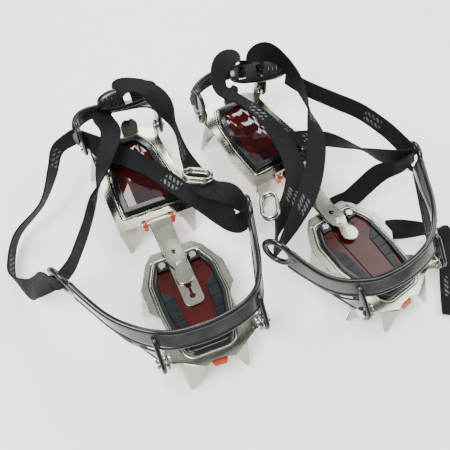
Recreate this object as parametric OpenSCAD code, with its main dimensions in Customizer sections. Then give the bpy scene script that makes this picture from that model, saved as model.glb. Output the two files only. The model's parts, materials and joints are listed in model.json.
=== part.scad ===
// A pair of strap-on ten-point crampons, points down and toes towards -Y.
// Lengths are in millimetres. The left crampon is drawn about its own centre
// line; the right one is its mirror image, turned and set beside it.

/* [Steel] */
// Thickness of the folded steel sheet
sheet_t = 2; // [1.6:0.1:2.2]
// Height of both decks above the tips of the points
deck_z = 30; // [29:0.5:32]
// Width of the centre bar
bar_w = 20; // [18:0.5:20]
// Pitch of the holes in the centre bar
hole_pitch = 10; // [9:0.5:11]

/* [Harness] */
// Thickness of the harness webs
band_t = 3; // [2.4:0.1:3.4]
// Thickness of the beads along the harness edges
bead_t = 4.6; // [4:0.1:5]

/* [Webbing] */
// Width of the webbing
web_w = 20; // [15:1:20]
// Thickness of the webbing
web_t = 1.6; // [1.2:0.1:2]

/* [Fit] */
// Gap between pieces that lie beside each other
gap = 0.3; // [0.2:0.05:0.4]
// Radial clearance of the rivets in their eyes
rivet_play = 0.1; // [0.05:0.01:0.15]

/* [Stance] */
// Turn of the right crampon about the vertical, in degrees
right_turn = 9.5; // [8:0.5:10]
// How far the heel of the right crampon is pulled out
right_reach = 24; // [22:0.5:26]

/* [Hidden] */
SIDES = ["left", "right"];
PIECES = [
    "front_frame", "front_plate", "front_pads", "front_underplate", "front_plate_pins",
    "bar_guide", "guide_posts", "lock_leaf", "leaf_tongue", "leaf_rivet", "leaf_stud",
    "toe_harness", "toe_rivets", "strap_rings", "center_bar", "hook_pin",
    "heel_frame", "heel_rim", "heel_panel", "heel_underplate", "heel_plate_pins",
    "heel_harness", "heel_rivets", "heel_buckle"];
STRAPS = ["left_strap_1", "left_strap_2", "left_strap_3", "left_strap_4",
    "right_strap_1", "right_strap_2", "right_strap_3", "right_strap_4",
    "right_strap_5", "right_strap_6"];
$fn = 48;

steel = "#b9bba7";
bright_steel = "#d9d9d2";
maroon = "#5e1512";
black = "#17181a";
dark_grey = "#2e3235";
orange = "#d2481a";
smoke = "#5a5c5b";

// Where the pair stands: the left crampon's own origin, then the right one's
pair_shift = [-69.8, -59.7, 0];
right_origin = [158.7, -19.8, 0];

// Heights of the layers, from the deck upwards and downwards
deck_low = deck_z - sheet_t;
bar_z = deck_z + 2;
bar_t = 2;
leaf_z = bar_z + bar_t + 1;
leaf_t = 1.5;
plate_z = bar_z - 0.4;
under_z = deck_low - 4;
under_t = 1.8;

// Toe rivet and heel rivet: y and height of their axes, shank radius
toe_axis = [-50, 41];
heel_axis = [188, 41];
rivet_r = 2.5;
tab_x = 40;
heel_tab_x = 36;
stop_x = 11;
tab_r = 7;
arm_r = 8;
arm_t = 4;
washer_t = 1;

// Centre bar: its front end, barrel and hook pin
bar_front = -12;
right_bar_front = 8;
hook_y = 82;
barrel_r = 3.5;
pin_r = 1.9;
hook_z = bar_z + bar_t - barrel_r;
first_hole = -3;
last_hole = 67;
hole_r = 2.6;
slot_w = 2.2;
stem_r = 0.8;
leaf_rivet_y = 31;
stud_y = 56;
leaf_axis_y = 36.6;

front_outline = [
    [20, 50], [-20, 50], [-28, 42], [-38, 22], [-38, -3], [-31, -12], [-31, -28], [-41, -36],
    [-41, -49], [-31, -52], [-12, -63], [-5, -60.5], [5, -61.5], [12, -64], [26, -57], [41, -49],
    [41, -36], [31, -28], [31, -12], [38, -3], [38, 22], [28, 42]];
front_opening = [
    [19, 37], [-19, 37], [-27, 20], [-27, -8], [-25, -30], [-21, -46], [-17, -49.5],
    [12, -51], [16, -48], [21, -30], [27, -8], [27, 20]];
plate_outline = [
    [18.4, 36.4], [-18.4, 36.4], [-26.4, 20], [-26.4, -8], [-24.4, -30], [-20.4, -45.6],
    [-16.8, -48.9], [11.8, -50.3], [15.4, -47.6], [20.4, -30], [26.4, -8], [26.4, 20]];
front_under_outline = [
    [22, 36], [-22, 36], [-31, 18], [-31, -6], [-28, -30], [-24, -46], [-9, -55], [-5, -64.5],
    [5, -65.5], [9, -57], [19, -50], [24, -30], [31, -6], [31, 18]];
pad_outline = [[25.3, 13], [15, 3], [11.5, -42], [16, -45], [19.2, -30], [25.3, -8]];
toe_rim_outline = [[-19, -41.5], [-16, -48], [11.2, -49.4], [14.4, -46.8], [16, -41.5]];

heel_outline = [
    [38.5, 84], [39.5, 125], [36, 165], [36, 194], [28, 200], [15, 205], [-15, 205], [-28, 200],
    [-36, 194], [-36, 165], [-39.5, 125], [-38.5, 84]];
heel_opening = [
    [28.5, 99], [28.5, 130], [24, 172], [15, 192], [-15, 192], [-24, 172], [-28.5, 130],
    [-28.5, 99]];
rim_outline = [
    [27.9, 99.6], [27.9, 130], [23.4, 172], [14.6, 191.4], [-14.6, 191.4], [-23.4, 172],
    [-27.9, 130], [-27.9, 99.6]];
rim_opening = [
    [22, 105], [22, 130], [17.5, 170], [10.5, 184.5], [-10.5, 184.5], [-17.5, 170], [-22, 130],
    [-22, 105]];
panel_outline = [
    [21.6, 105.4], [21.6, 130], [17.1, 170], [10.3, 184.1], [-10.3, 184.1], [-17.1, 170],
    [-21.6, 130], [-21.6, 105.4]];
heel_under_outline = [
    [33, 90], [33, 130], [28, 175], [17, 196], [-17, 196], [-28, 175], [-33, 130], [-33, 90]];
barrel_notch = 16.5;
// The tips are ground flat where they meet the ground
tip_z = -0.8;

// Stations of the harness bands, each [upper edge, lower edge], outer end first
toe_stations = [
    [[-86, 27, 79], [-86, 25, 59]], [[-78, 10, 73], [-78, 9, 54]],
    [[-68, -8, 69], [-68, -12, 51]], [[-56, -22, 67], [-58, -29, 50]],
    [[-42, -33, 66], [-46, -42, 51]], [[-25, -40, 65], [-30, -51, 52]],
    [[0, -43, 66], [0, -55, 52]]];
left_heel_stations = [
    [[-44, 190, 67], [-45, 186, 49]], [[-39, 202, 69], [-41, 202, 53]],
    [[-28, 208, 70], [-29, 209, 55]], [[-9, 209, 68], [-10, 210, 56]],
    [[10, 208, 64], [10, 209, 55]], [[28, 205, 64], [28, 206, 55]],
    [[38, 199, 64], [39, 200, 54]], [[41, 191, 63], [41.5, 189, 51]]];
right_heel_stations = [
    [[-41.5, 184, 61.5], [-42, 184, 50]], [[-36, 194, 64], [-37, 194, 53]],
    [[-26, 197, 65], [-27, 198, 55]], [[-8, 204, 67], [-9, 205, 56]],
    [[10, 207, 71], [11, 208, 56]], [[28, 204, 71], [29, 205, 55]],
    [[38, 200, 69], [39, 200.5, 53]], [[43, 196.5, 67], [43.8, 196.5, 51]]];
ear_r = 15;
ear_hole_r = 9.5;
ear_t = 6;

// Routes of the webbing: [centre of the web, direction across it]
strap_left_1 = [
    [[-14, 199, 64], [4, 1, 0]], [[-12, 177, 62], [4, 1, 0]], [[-29, 147, 57], [4, 1, 2]],
    [[-43, 121, 54], [2, 1, 4]], [[-53, 103, 58], [0, 0, 1]], [[-64, 80, 62], [0, 0, 1]],
    [[-75, 60, 66], [0, 0, 1]], [[-84, 46, 68], [0, 0, 1]]];
strap_left_2 = [
    [[-106, 42, 64], [0, 1, 2]], [[-118, 52, 45], [1, 2, 2]], [[-128, 64, 24], [1, 1, 3]],
    [[-139, 82, 13], [0, 0, 1]], [[-141, 100, 12], [0, 0, 1]], [[-128, 130, 16], [1, 0, 3]],
    [[-97, 147, 28], [1, 0, 2]], [[-78, 170, 40], [0, 0, 1]], [[-66, 187, 50], [0, 0, 1]],
    [[-50, 190, 56], [0, 0, 1]]];
strap_left_3 = [
    [[-32, 180, 54], [0, 1, 3]], [[-22, 170, 47], [1, 4, 2]], [[-6, 158, 43], [1, 3, 1]],
    [[12, 134, 43], [4, 2, 0]], [[27, 104, 44], [4, 2, 0]], [[40, 74, 52], [4, 2, 1]],
    [[50, 48, 58], [4, 2, 2]], [[58, 32, 62], [2, 0, 3]]];
strap_left_4 = [
    [[-2, 204, 88], [0, 2, 1]], [[8, 200, 94], [0, 2, 1]], [[19, 198, 95], [1, 3, 0]],
    [[32, 191, 91], [2, 2, 0]], [[42, 176, 82], [2, 0, 1]], [[46, 152, 70], [0, 0, 1]],
    [[44, 122, 60], [1, 0, 3]], [[44, 92, 62], [3, 0, 2]], [[48, 72, 68], [3, 1, 1]],
    [[58, 58, 74], [2, 2, 1]]];
strap_right_1 = [
    [[-14, 225, 84], [1, 2, 1]], [[-2, 226, 86], [0, 2, 1]], [[12, 218, 84], [1, 2, 2]],
    [[20, 202, 76], [2, 0, 1]], [[6, 186, 66], [2, -1, 1]], [[-8, 160, 54], [3, 0, 1]],
    [[-7, 125, 48], [3, 1, 0]], [[6, 92, 48], [3, 1, 0]], [[30, 68, 54], [1, 2, 1]],
    [[62, 48, 62], [0, 1, 2]]];
strap_right_2 = [
    [[-30, 214, 84], [0, 1, 1]], [[-40, 209, 91], [0, 1, 2]], [[-49, 192, 86], [0, 0, 1]],
    [[-51, 168, 77], [0, 0, 1]], [[-46, 142, 68], [1, 0, 3]], [[-32, 110, 60], [3, 1, 1]],
    [[-10, 84, 58], [2, 2, 1]], [[16, 62, 62], [1, 2, 1]], [[44, 44, 68], [1, 2, 3]]];
strap_right_3 = [
    [[-56, 192, 64], [0, 0, 1]], [[-61, 165, 66], [0, 0, 1]], [[-70, 134, 70], [0, 0, 1]],
    [[-80, 104, 73], [0, 0, 1]], [[-84, 74, 74], [0, 0, 1]], [[-84, 54, 74], [0, 0, 1]]];
strap_right_4 = [
    [[-72, 44, 68], [0, 0, 1]], [[-68, 60, 58], [1, 0, 3]], [[-63, 86, 48], [3, -1, 2]],
    [[-48, 112, 45], [1, -1, 0]], [[-24, 128, 45], [1, -2, 0]], [[-2, 138, 42], [1, -2, 0]]];
strap_right_5 = [
    [[-74, 36, 62], [0, 0, 1]], [[-62, 46, 50], [0, 1, 2]], [[-48, 50, 30], [0, 1, 2]],
    [[-40, 54, 12], [0, 1, 1]], [[-24, 58, 8], [0, 1, 0]]];
strap_right_6 = [
    [[-50, 8, 8], [0, 1, 0]], [[-66, -4, 10], [0, 1, 1]], [[-80, -16, 14], [1, 1, 1]],
    [[-84, -26, 22], [3, -1, 0]], [[-76, -44, 16], [3, -1, 0]], [[-60, -68, 4], [3, -1, 0]],
    [[-40, -92, 3], [3, -1, 0]]];

// ---- helpers -------------------------------------------------------------

function unit(v) = v / norm(v);
function frame_of(x, y, z, o) = [for (i = [0:2]) [x[i], y[i], z[i], o[i]]];
function on_deck(p) = [p[0], p[1], deck_z - sheet_t / 2];

module left() { translate(pair_shift) children(); }
module right() { translate(pair_shift + right_origin) rotate(right_turn) mirror([1, 0, 0]) children(); }
module right_heel() { right() translate([0, right_reach, 0]) children(); }
module both() { children(); mirror([1, 0, 0]) children(); }
module across(r, h) { rotate([0, 90, 0]) cylinder(r = r, h = h, center = true); }

// A flat layer with the given outline, from z upwards
module layer(outline, z, t) { translate([0, 0, z]) linear_extrude(t) polygon(outline); }

// A pointed steel blade folded down from the deck edge a-b to a blunt tip
module steel_point(a, b, tip, tip_w = 2.4) {
    u = unit(b - a);
    n = unit(cross(u, tip - a));
    v = cross(n, u);
    reach = [(tip - a) * u, (tip - a) * v];
    multmatrix(concat(frame_of(u, v, n, a), [[0, 0, 0, 1]])) {
        linear_extrude(sheet_t, center = true)
            polygon([[0, 0], [norm(b - a), 0], reach + [tip_w / 2, 0], reach - [tip_w / 2, 0]]);
        rotate([0, 90, 0]) cylinder(r = sheet_t / 2 - 0.05, h = norm(b - a));
    }
}

// A straight flange folded down just inside the outline edge a-b
module flange(a, b, h) {
    d = b - a;
    inset = 0.3;
    translate([a[0], a[1], deck_z - h]) rotate(atan2(d[1], d[0])) translate([inset, inset, 0])
        cube([norm(d) - 2 * inset, sheet_t, h - 0.5]);
}

// An upright rivet tab: a disc round the rivet on a foot that stands on the deck
module rivet_tab(x, axis, foot) {
    translate([x, 0, 0]) {
        translate([0, axis[0], axis[1]]) across(tab_r, sheet_t);
        rotate([90, 0, 90]) linear_extrude(sheet_t, center = true)
            polygon([[foot[0], deck_low], [foot[1], deck_low], [axis[0] + tab_r, axis[1]],
                [axis[0] - tab_r, axis[1]]]);
    }
}

module rivet_holes(axis) {
    translate([0, axis[0], axis[1]]) across(rivet_r + rivet_play, 200);
}

// Room for the rivets' outer heads in harness arms that lean outwards
module head_pockets(x, axis) {
    pocket_t = 12;
    out = x + sheet_t / 2 + washer_t + 2 * gap + arm_t;
    both() translate([out + pocket_t / 2, axis[0], axis[1]]) across(5.4, pocket_t);
}

module below_ground() { translate([-300, -300, -20]) cube([600, 700, 20]); }

// Rivets with a domed head inside, a washer and a flat head outside
module rivet_pair(x, axis) {
    head_t = 1.6;
    out = x + sheet_t / 2 + washer_t + 2 * gap + arm_t;
    both() translate([0, axis[0], axis[1]]) {
        translate([(x - 3 + out + 1) / 2, 0, 0]) across(rivet_r, out + 1 - x + 3);
        translate([x - sheet_t / 2 - gap - head_t / 2, 0, 0]) across(4.5, head_t);
        translate([x + sheet_t / 2 + 0.1 + washer_t / 2, 0, 0]) across(6, washer_t);
        translate([out + gap + head_t / 2, 0, 0]) across(4.6, head_t);
    }
}

// One closed sheet through stations [upper edge, lower edge], beaded along both edges
function band_ring(stations, i) =
    let (s = stations[i],
         before = stations[max(i - 1, 0)],
         after = stations[min(i + 1, len(stations) - 1)],
         along = unit((after[0] + after[1]) - (before[0] + before[1])),
         down = s[1] - s[0],
         n = unit(cross(along, down)),
         bead = n * bead_t / 2,
         web = n * band_t / 2,
         step = unit(down) * bead_t)
    [s[0] - bead, s[0] + step - web, s[1] - step - web, s[1] - bead,
     s[1] + bead, s[1] - step + web, s[0] + step + web, s[0] + bead];

// One flat web through route points [centre, direction across]
function web_ring(route, i) =
    let (before = route[max(i - 1, 0)][0],
         after = route[min(i + 1, len(route) - 1)][0],
         along = unit(after - before),
         across = unit(route[i][1] - (route[i][1] * along) * along),
         n = cross(along, across),
         a = across * web_w / 2,
         b = across * (web_w / 2 - 1),
         e = n * web_t / 4,
         t = n * web_t / 2,
         c = route[i][0])
    [c + b + t, c + a + e, c + a - e, c + b - t, c - b - t, c - a - e, c - a + e, c - b + t];

// A closed skin over rings of points; matched = true splits both faces of a twisted web along the
// same diagonals, so that they stay parallel
module skin(rings, matched = false) {
    n = len(rings[0]);
    last = len(rings) - 1;
    polyhedron(
        points = [for (ring = rings) for (p = ring) p],
        faces = concat(
            [[for (k = [0:n - 1]) k]],
            [for (r = [0:last - 1]) for (k = [0:n - 1])
                let (turned = matched && k >= n / 2)
                [r * n + k, (r + 1) * n + k, turned ? r * n + (k + 1) % n : (r + 1) * n + (k + 1) % n]],
            [for (r = [0:last - 1]) for (k = [0:n - 1])
                let (turned = matched && k >= n / 2)
                [turned ? (r + 1) * n + k : r * n + k, (r + 1) * n + (k + 1) % n, r * n + (k + 1) % n]],
            [[for (k = [n - 1:-1:0]) last * n + k]]));
}

module band(stations) { skin([for (i = [0:len(stations) - 1]) band_ring(stations, i)]); }
module web(route) {
    color(black) skin([for (i = [0:len(route) - 1]) web_ring(route, i)], matched = true);
}

// ---- front section ---------------------------------------------------------

module front_frame() {
    mid = [[38, 22], [38, -3], [43.5, 12, tip_z]];
    under_tab = [[40, -36], [40, -49], [42, -41, tip_z]];
    color(steel) difference() {
        union() {
            difference() {
                layer(front_outline, deck_low, sheet_t);
                layer(front_opening, deck_low - 1, sheet_t + 2);
            }
            both() {
                flange([38, 22], [28, 42], 6);
                flange([31, -28], [31, -12], 4);
                steel_point(on_deck(mid[1]), on_deck(mid[0]), mid[2]);
                steel_point(on_deck(under_tab[1]), on_deck(under_tab[0]), under_tab[2]);
                rivet_tab(tab_x, toe_axis, [-50, -36]);
            }
            steel_point(on_deck([-31, -52]), on_deck([-12, -63]), [-28, -68, 4]);
            steel_point(on_deck([12, -64]), on_deck([26, -57]), [23, -69, 4]);
        }
        rivet_holes(toe_axis);
        below_ground();
        for (x = [-22, 22]) translate([x, 42, deck_low - 1]) cylinder(r = 1.6, h = sheet_t + 2);
        translate([0, leaf_rivet_y + 9, deck_low - 1]) cylinder(r = stem_r + gap, h = sheet_t + 2);
    }
}

module front_plate() {
    base_t = plate_z - deck_low + 1.8;
    color(maroon) difference() {
        union() {
            layer(plate_outline, plate_z - base_t, base_t - 1.2);
            translate([-11.5, -46, plate_z - 1.3]) cube([22, 70, 1.3]);
            both() translate([13.5, 22, plate_z - 1.3]) rotate(20) cube([6, 9, 1]);
        }
        both() layer(pad_outline, plate_z - 2.6, 5);
        layer(toe_rim_outline, plate_z - 2.6, 5);
        translate([-22, 28, plate_z - 1.9]) cube([44, 20, 5]);
        for (y = [-30, 20]) for (x = [-9, 9])
            translate([x, y, plate_z - base_t - 1]) cylinder(r = 2.1, h = 3);
    }
}

module front_pads() {
    color(dark_grey) both() difference() {
        layer([for (p = pad_outline) [p[0] + (p[0] > 17 ? -0.2 : 0.2), p[1] * 0.985]], plate_z - 2.5, 2.2);
        for (y = [-20:10:0]) translate([14, y, plate_z - 0.8]) cube([12, 0.8, 2]);
    }
    color(black) layer([for (p = toe_rim_outline) [p[0] * 0.985 - 0.03, p[1] * 0.99 - 0.47]],
        plate_z - 2.5, 3.4);
}

module front_underplate() {
    color(orange) difference() {
        layer(front_under_outline, under_z, under_t);
        for (y = [-30, 20]) for (x = [-9, 9])
            translate([x, y, under_z - 1]) cylinder(r = 2.1, h = under_t + 2);
    }
}

// Snap pins that hold the anti-balling plate to its under-plate
module front_plate_pins() {
    color(bright_steel) for (y = [-30, 20]) for (x = [-9, 9]) translate([x, y, under_z - 1.4]) {
        cylinder(r = 2, h = under_t + 3.4);
        cylinder(r = 3.4, h = 1.2);
    }
}

module bar_guide() {
    block_x = bar_w / 2 + 0.5;
    color(black) difference() {
        union() {
            both() translate([block_x, 28.5, deck_z - 0.1]) cube([9, 8.5, 5.1]);
            translate([-block_x - 1, 28.5, deck_z - 0.1]) cube([2 * block_x + 2, 8.5, 1.7]);
        }
        both() translate([14.5, 33, deck_z - 1]) cylinder(r = 2.1, h = 8);
        translate([0, leaf_rivet_y, deck_z - 1]) cylinder(r = stem_r + 0.1, h = 4);
    }
}

module guide_posts() {
    color(bright_steel) both() translate([14.5, 33, deck_z]) {
        cylinder(r = 2, h = 6.2);
        translate([0, 0, 5.2]) cylinder(r = 3, h = 1.2);
    }
}

// The fixed front part of the lock leaf: a waist and a round tongue
module leaf_tongue() {
    color(steel) difference() {
        translate([0, 0, leaf_z]) linear_extrude(leaf_t) union() {
            translate([0, 16]) circle(r = 8);
            polygon([[-7, 20], [-5, 25], [-9.5, 31], [-9.5, 35.4], [9.5, 35.4], [9.5, 31],
                [5, 25], [7, 20]]);
        }
        translate([0, leaf_rivet_y, leaf_z - 1]) cylinder(r = stem_r + 0.1, h = 4);
    }
}

module leaf_rivet() {
    color(bright_steel) translate([0, leaf_rivet_y, 0]) {
        translate([0, 0, deck_z]) cylinder(r = stem_r, h = leaf_z + leaf_t - deck_z + 0.5);
        translate([0, 0, leaf_z + leaf_t + 0.1]) cylinder(r = 3, h = 0.9);
        translate([0, 0, leaf_z + leaf_t + 0.9]) cylinder(r = 2, h = 0.6);
    }
}

// The lifting rear part of the lock leaf, with its turned-up end
module lock_leaf() {
    end_y = 78;
    color(steel) difference() {
        union() {
            translate([-bar_w / 2, leaf_axis_y, leaf_z]) cube([bar_w, end_y - leaf_axis_y - 1.5, leaf_t]);
            translate([0, leaf_axis_y, leaf_z + leaf_t / 2]) across(leaf_t / 2, bar_w);
            translate([0, end_y - 1.5, leaf_z + 1.4]) across(1.4, bar_w + 2);
        }
        translate([0, 42, leaf_z - 1]) cylinder(r = 2.4, h = 4);
    }
}

// The stud on the underside of the leaf, just clear of the bar's row of holes so the bar can slide
module leaf_stud() {
    stud_low = bar_z + bar_t + 0.12;
    color(bright_steel) translate([0, stud_y, 0]) {
        translate([0, 0, stud_low]) cylinder(r = stem_r, h = leaf_z - stud_low);
        translate([0, 0, leaf_z - 0.6]) cylinder(r = 3, h = 0.5);
    }
}

// ---- centre bar --------------------------------------------------------------

// The chain of round holes joined by a narrow slot, from the first to the last hole
module hole_chain(first) {
    translate([-slot_w / 2, first, bar_z - 1]) cube([slot_w, last_hole - first, bar_t + 2]);
    for (y = [first:hole_pitch:last_hole])
        translate([0, y, bar_z - 1]) cylinder(r = hole_r, h = bar_t + 2);
}

module center_bar(front) {
    end_r = bar_w / 2 - 1;
    color(steel) difference() {
        union() {
            translate([0, 0, bar_z]) linear_extrude(bar_t) {
                translate([-end_r, front + 6]) square([2 * end_r, 44 - front]);
                translate([-bar_w / 2, 45]) square([bar_w, hook_y - 45]);
                for (x = [-1, 1]) translate([x * (end_r - 6), front + 6]) circle(r = 6);
                translate([6 - end_r, front]) square([2 * end_r - 12, 10]);
            }
            translate([0, hook_y, hook_z]) across(barrel_r, bar_w);
        }
        translate([0, hook_y, hook_z]) across(pin_r + rivet_play, bar_w + 4);
        hole_chain(front + first_hole - bar_front);
    }
}

module hook_pin() {
    end_x = 16;
    color(bright_steel) translate([0, hook_y, hook_z]) {
        across(pin_r, 2 * end_x + 1.6);
        for (x = [-end_x, end_x]) translate([x, 0, 0]) across(2.9, 0.8);
    }
}

// ---- heel section --------------------------------------------------------------

module heel_frame(stop_side) {
    side = [[36, 166], [36, 183], [45, 178, tip_z]];
    front = [[21, 85], [38.5, 85], [33, 77, tip_z]];
    color(steel) difference() {
        union() {
            difference() {
                layer(heel_outline, deck_low, sheet_t);
                layer(heel_opening, deck_low - 1, sheet_t + 2);
            }
            both() {
                translate([21, 84, deck_z - 10]) cube([17.5, sheet_t, 9.5]);
                flange(heel_outline[0] + [0, 6], heel_outline[1], 6);
                flange(heel_outline[1], heel_outline[2] + [0, -3], 6);
                steel_point(on_deck(front[0]), on_deck(front[1]), front[2]);
                steel_point(on_deck(side[0]), on_deck(side[1]), side[2]);
                rivet_tab(heel_tab_x, heel_axis, [184, 194]);
            }
            heel_stop(stop_side);
        }
        translate([-barrel_notch, 80, deck_low - 12]) cube([2 * barrel_notch, 8, 24]);
        for (x = [-18, -1.5, 15]) translate([x, 94, deck_low - 1]) cube([10, 3, sheet_t + 2]);
        rivet_holes(heel_axis);
        below_ground();
    }
}

// The rounded tab turned up behind the heel
module heel_stop(stop_side) {
    translate([stop_side * stop_x, 204, 0]) {
        translate([-9, -1, deck_low]) cube([18, sheet_t, 8]);
        translate([0, 0, deck_low + 8]) rotate([90, 0, 0]) cylinder(r = 9, h = sheet_t, center = true);
    }
}

module heel_rim() {
    color(black) difference() {
        union() {
            layer(rim_outline, deck_low - 2, 9);
            translate([-24, 99.6, deck_low - 2]) cube([48, 5, 6]);
        }
        layer(rim_opening, deck_low - 3, 12);
    }
}

module heel_panel() {
    color(maroon) difference() {
        layer(panel_outline, deck_low - 2, 6);
        translate([0, 145, deck_low + 64]) rotate([90, 0, 0])
            cylinder(r = 61.5, h = 100, center = true, $fn = 96);
        for (y = [115, 170]) for (x = [-9, 9])
            translate([x, y, deck_low - 3]) cylinder(r = 2.1, h = 3);
    }
}

module heel_underplate() {
    lug_x = 11.6;
    lug_w = 3.6;
    color(orange) difference() {
        union() {
            layer(heel_under_outline, under_z, under_t);
            both() {
                translate([lug_x, 79, under_z]) cube([lug_w, 13, under_t]);
                translate([lug_x, 79, under_z]) cube([lug_w, 6.6, hook_z - under_z]);
                translate([lug_x + lug_w / 2, 82, hook_z]) across(3.3, lug_w);
            }
        }
        translate([0, hook_y, hook_z]) across(pin_r + rivet_play, 60);
        for (y = [115, 170]) for (x = [-9, 9])
            translate([x, y, under_z - 1]) cylinder(r = 2.1, h = under_t + 2);
    }
}

module heel_plate_pins() {
    color(bright_steel) for (y = [115, 170]) for (x = [-9, 9]) translate([x, y, under_z - 1.4]) {
        cylinder(r = 2, h = under_t + 3.2);
        cylinder(r = 3.4, h = 1.2);
    }
}

// ---- harnesses -----------------------------------------------------------------

// A toe harness point beyond the rivet: k = [spread of the arm, how far it falls short]
function pull(p, k) = let (reach = max(0, -46 - p[0]))
    [p[0] - reach * (k[0] - 1), p[1] - reach / 40 * k[1], p[2]];
function flip(p) = [-p[0], p[1], p[2]];
function toe_half(k) = [for (s = toe_stations) [pull(s[0], k), pull(s[1], k)]];
function toe_band(outer, inner) = concat(toe_half(outer),
    [for (i = [len(toe_stations) - 2:-1:0]) [for (p = toe_half(inner)[i]) flip(p)]]);

// The eye at the end of an arm, in line with the arm's last stretch
module ear(k) {
    end = toe_half(k)[0];
    run = end[0] - toe_half(k)[1][0];
    translate((end[0] + end[1]) / 2 + unit([run[0], run[1], 0]) * (ear_r - 5.2))
        rotate(atan2(run[1], run[0])) rotate([90, 0, 0]) children();
}

module rivet_arm(x, axis, top, top_r) {
    hull() {
        translate([x, axis[0], axis[1]]) across(arm_r, arm_t, $fn = 32);
        translate([x + top[0], top[1], top[2]]) across(top_r, arm_t, $fn = 32);
    }
}

module toe_harness(outer, inner) {
    arm_x = tab_x + sheet_t / 2 + washer_t + gap + arm_t / 2;
    color(smoke) difference() {
        union() {
            band(toe_band(outer, inner));
            ear(outer) cylinder(r = ear_r, h = ear_t, center = true);
            mirror([1, 0, 0]) ear(inner) cylinder(r = ear_r, h = ear_t, center = true);
            both() rivet_arm(arm_x, toe_axis, [1.5, -41, 57], 7);
        }
        ear(outer) cylinder(r = ear_hole_r, h = ear_t * 4, center = true);
        mirror([1, 0, 0]) ear(inner) cylinder(r = ear_hole_r, h = ear_t * 4, center = true);
        rivet_holes(toe_axis);
        head_pockets(tab_x, toe_axis);
    }
}

module toe_rivets() { color(bright_steel) rivet_pair(tab_x, toe_axis); }
module heel_rivets() { color(bright_steel) rivet_pair(heel_tab_x, heel_axis); }

// Both arms and the band; the broad arm has a slot for the webbing
module heel_harness(stations, broad_side) {
    arm_x = heel_tab_x + sheet_t / 2 + washer_t + gap + arm_t / 2;
    color(smoke) difference() {
        union() {
            band(stations);
            for (side = [-1, 1]) mirror([side < 0 ? 1 : 0, 0, 0])
                rivet_arm(arm_x, heel_axis, side == broad_side ? [3.5, 191, 59] : [2, 189, 57],
                    side == broad_side ? 13 : 8);
        }
        rivet_holes(heel_axis);
        head_pockets(heel_tab_x, heel_axis);
        translate([broad_side * (arm_x + 3), 191, 59])
            cube([16, 6, 20], center = true);
    }
}

// A moulded ladder buckle: a rounded plate with two windows and grip ribs
module heel_buckle(at, turn) {
    color(black) translate(at) rotate(turn) difference() {
        union() {
            cube([38, 18, 4], center = true);
            for (x = [-19, 19]) translate([x, 0, 0]) cylinder(r = 9, h = 4, center = true);
            for (x = [-22:4:-10]) translate([x, 0, 2.4]) cube([1.6, 14, 2], center = true);
        }
        for (x = [-1, 16]) translate([x, 0, 0]) cube([8, 13, 10], center = true);
    }
}

// Two D rings of round wire, one over the other
module strap_rings(at, lean) {
    ring_r = 7;
    wire_r = 1.5;
    half = 5.5;
    color(bright_steel) for (k = [-1, 1]) translate(at) rotate(lean) translate([0, 0, k * 2]) {
        for (s = [-1, 1]) {
            rotate(s > 0 ? 0 : 180) translate([0, half, 0]) rotate_extrude(angle = 180)
                translate([ring_r, 0]) circle(r = wire_r, $fn = 24);
            translate([s * ring_r, 0, 0]) rotate([90, 0, 0])
                cylinder(r = wire_r, h = 2 * half, center = true, $fn = 24);
        }
    }
}

left() front_frame();  // left_front_frame
left() front_plate();  // left_front_plate
left() front_pads();  // left_front_pads
left() front_underplate();  // left_front_underplate
left() front_plate_pins();  // left_front_plate_pins
left() bar_guide();  // left_bar_guide
left() guide_posts();  // left_guide_posts
left() lock_leaf();  // left_lock_leaf
left() leaf_tongue();  // left_leaf_tongue
left() leaf_rivet();  // left_leaf_rivet
left() leaf_stud();  // left_leaf_stud
left() toe_harness([1.1, 0], [0.52, 0]);  // left_toe_harness
left() toe_rivets();  // left_toe_rivets
left() strap_rings([42, 84, 75.5], [0, 15, 60]);  // left_strap_rings
left() center_bar(bar_front);  // left_center_bar
left() hook_pin();  // left_hook_pin
left() heel_frame(1);  // left_heel_frame
left() heel_rim();  // left_heel_rim
left() heel_panel();  // left_heel_panel
left() heel_underplate();  // left_heel_underplate
left() heel_plate_pins();  // left_heel_plate_pins
left() heel_harness(left_heel_stations, -1);  // left_heel_harness
left() heel_rivets();  // left_heel_rivets
left() heel_buckle([16, 203, 77], [60, -6, -5]);  // left_heel_buckle

right() front_frame();  // right_front_frame
right() front_plate();  // right_front_plate
right() front_pads();  // right_front_pads
right() front_underplate();  // right_front_underplate
right() front_plate_pins();  // right_front_plate_pins
right() bar_guide();  // right_bar_guide
right() guide_posts();  // right_guide_posts
right() lock_leaf();  // right_lock_leaf
right() leaf_tongue();  // right_leaf_tongue
right() leaf_rivet();  // right_leaf_rivet
right() leaf_stud();  // right_leaf_stud
right() toe_harness([0.9, 0], [0.8, 12]);  // right_toe_harness
right() toe_rivets();  // right_toe_rivets
right() strap_rings([62, 62, 72], [0, 20, 30]);  // right_strap_rings
right_heel() center_bar(right_bar_front);  // right_center_bar
right_heel() hook_pin();  // right_hook_pin
right_heel() heel_frame(-1);  // right_heel_frame
right_heel() heel_rim();  // right_heel_rim
right_heel() heel_panel();  // right_heel_panel
right_heel() heel_underplate();  // right_heel_underplate
right_heel() heel_plate_pins();  // right_heel_plate_pins
right_heel() heel_harness(right_heel_stations, 1);  // right_heel_harness
right_heel() heel_rivets();  // right_heel_rivets
right_heel() heel_buckle([-28, 182, 73], [40, 0, 22]);  // right_heel_buckle

left() web(strap_left_1);  // left_strap_1
left() web(strap_left_2);  // left_strap_2
left() web(strap_left_3);  // left_strap_3
left() web(strap_left_4);  // left_strap_4
right() web(strap_right_1);  // right_strap_1
right() web(strap_right_2);  // right_strap_2
right() web(strap_right_3);  // right_strap_3
right() web(strap_right_4);  // right_strap_4
right() web(strap_right_5);  // right_strap_5
right() web(strap_right_6);  // right_strap_6
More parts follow.
